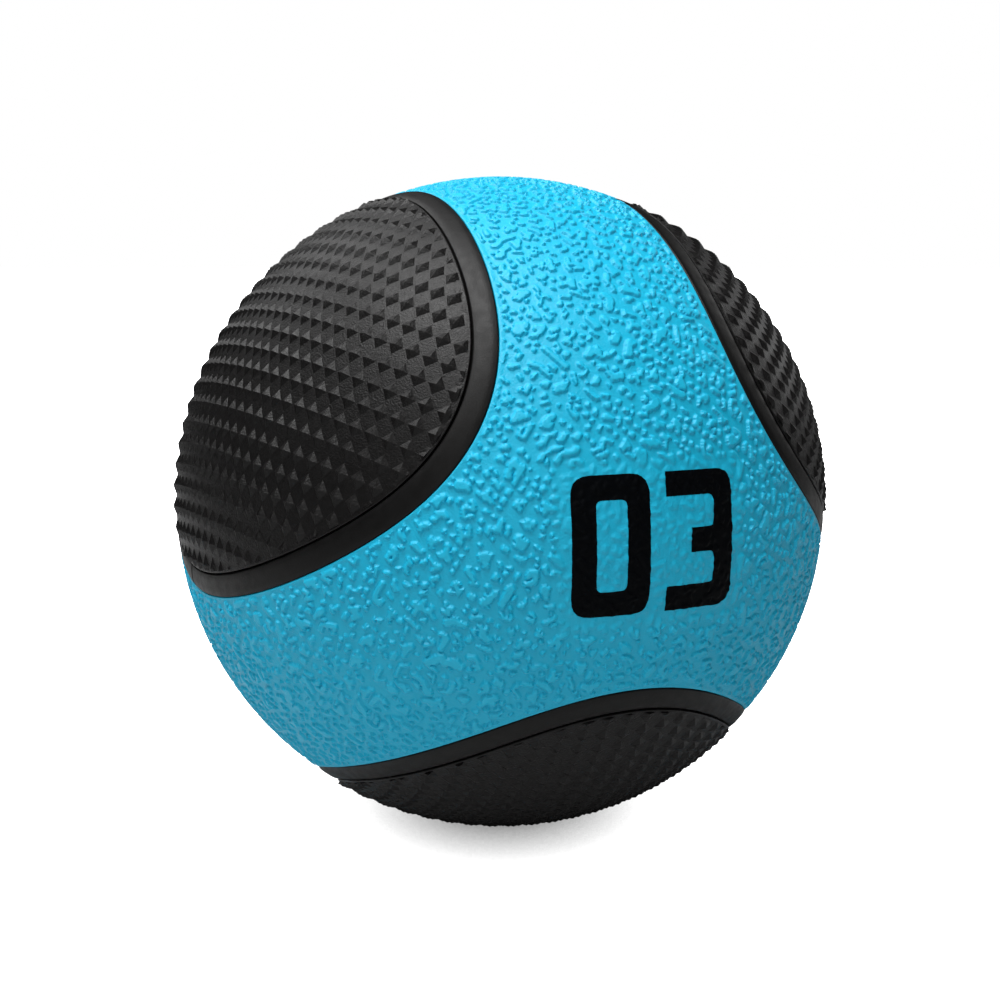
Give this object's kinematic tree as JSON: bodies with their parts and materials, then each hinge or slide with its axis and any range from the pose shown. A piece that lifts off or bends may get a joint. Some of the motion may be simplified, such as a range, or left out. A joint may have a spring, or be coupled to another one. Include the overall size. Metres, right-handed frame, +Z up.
{
  "type": "medicine ball",
  "caption": "Hollow rubber medicine ball with a textured blue cover, black lobed knurled grip pads, printed weight digits and an inflation valve.",
  "frame": {"origin": "centre of the ball, which is also the centre of its bounding box", "axes": "+Z up as the ball lies on a floor, +Y away from the side that carries the weight digits, +X to the right seen from that side"},
  "size_m": [0.2309, 0.2311, 0.2311],
  "materials": {
    "cover_rubber": "satin",
    "grip_rubber": "matte",
    "border_rubber": "satin",
    "print_ink": "satin",
    "winding_cord": "matte",
    "shell_rubber": "matte",
    "bladder_rubber": "satin",
    "valve_rubber": "satin"
  },
  "bodies": {
    "root": {"outer_cover": "cover_rubber", "grip_border_left": "border_rubber", "grip_pad_left": "grip_rubber", "grip_border_right": "border_rubber", "grip_pad_right": "grip_rubber", "grip_border_base": "border_rubber", "grip_pad_base": "grip_rubber", "grip_border_rear": "border_rubber", "grip_pad_rear": "grip_rubber", "weight_digit_zero": "print_ink", "weight_digit_three": "print_ink", "carcass_winding": "winding_cord", "weight_shell_valve_half": "shell_rubber", "weight_shell_far_half": "shell_rubber", "air_bladder": "bladder_rubber", "valve_housing": "valve_rubber", "valve_plug": "valve_rubber"}
  },
  "joints": []
}
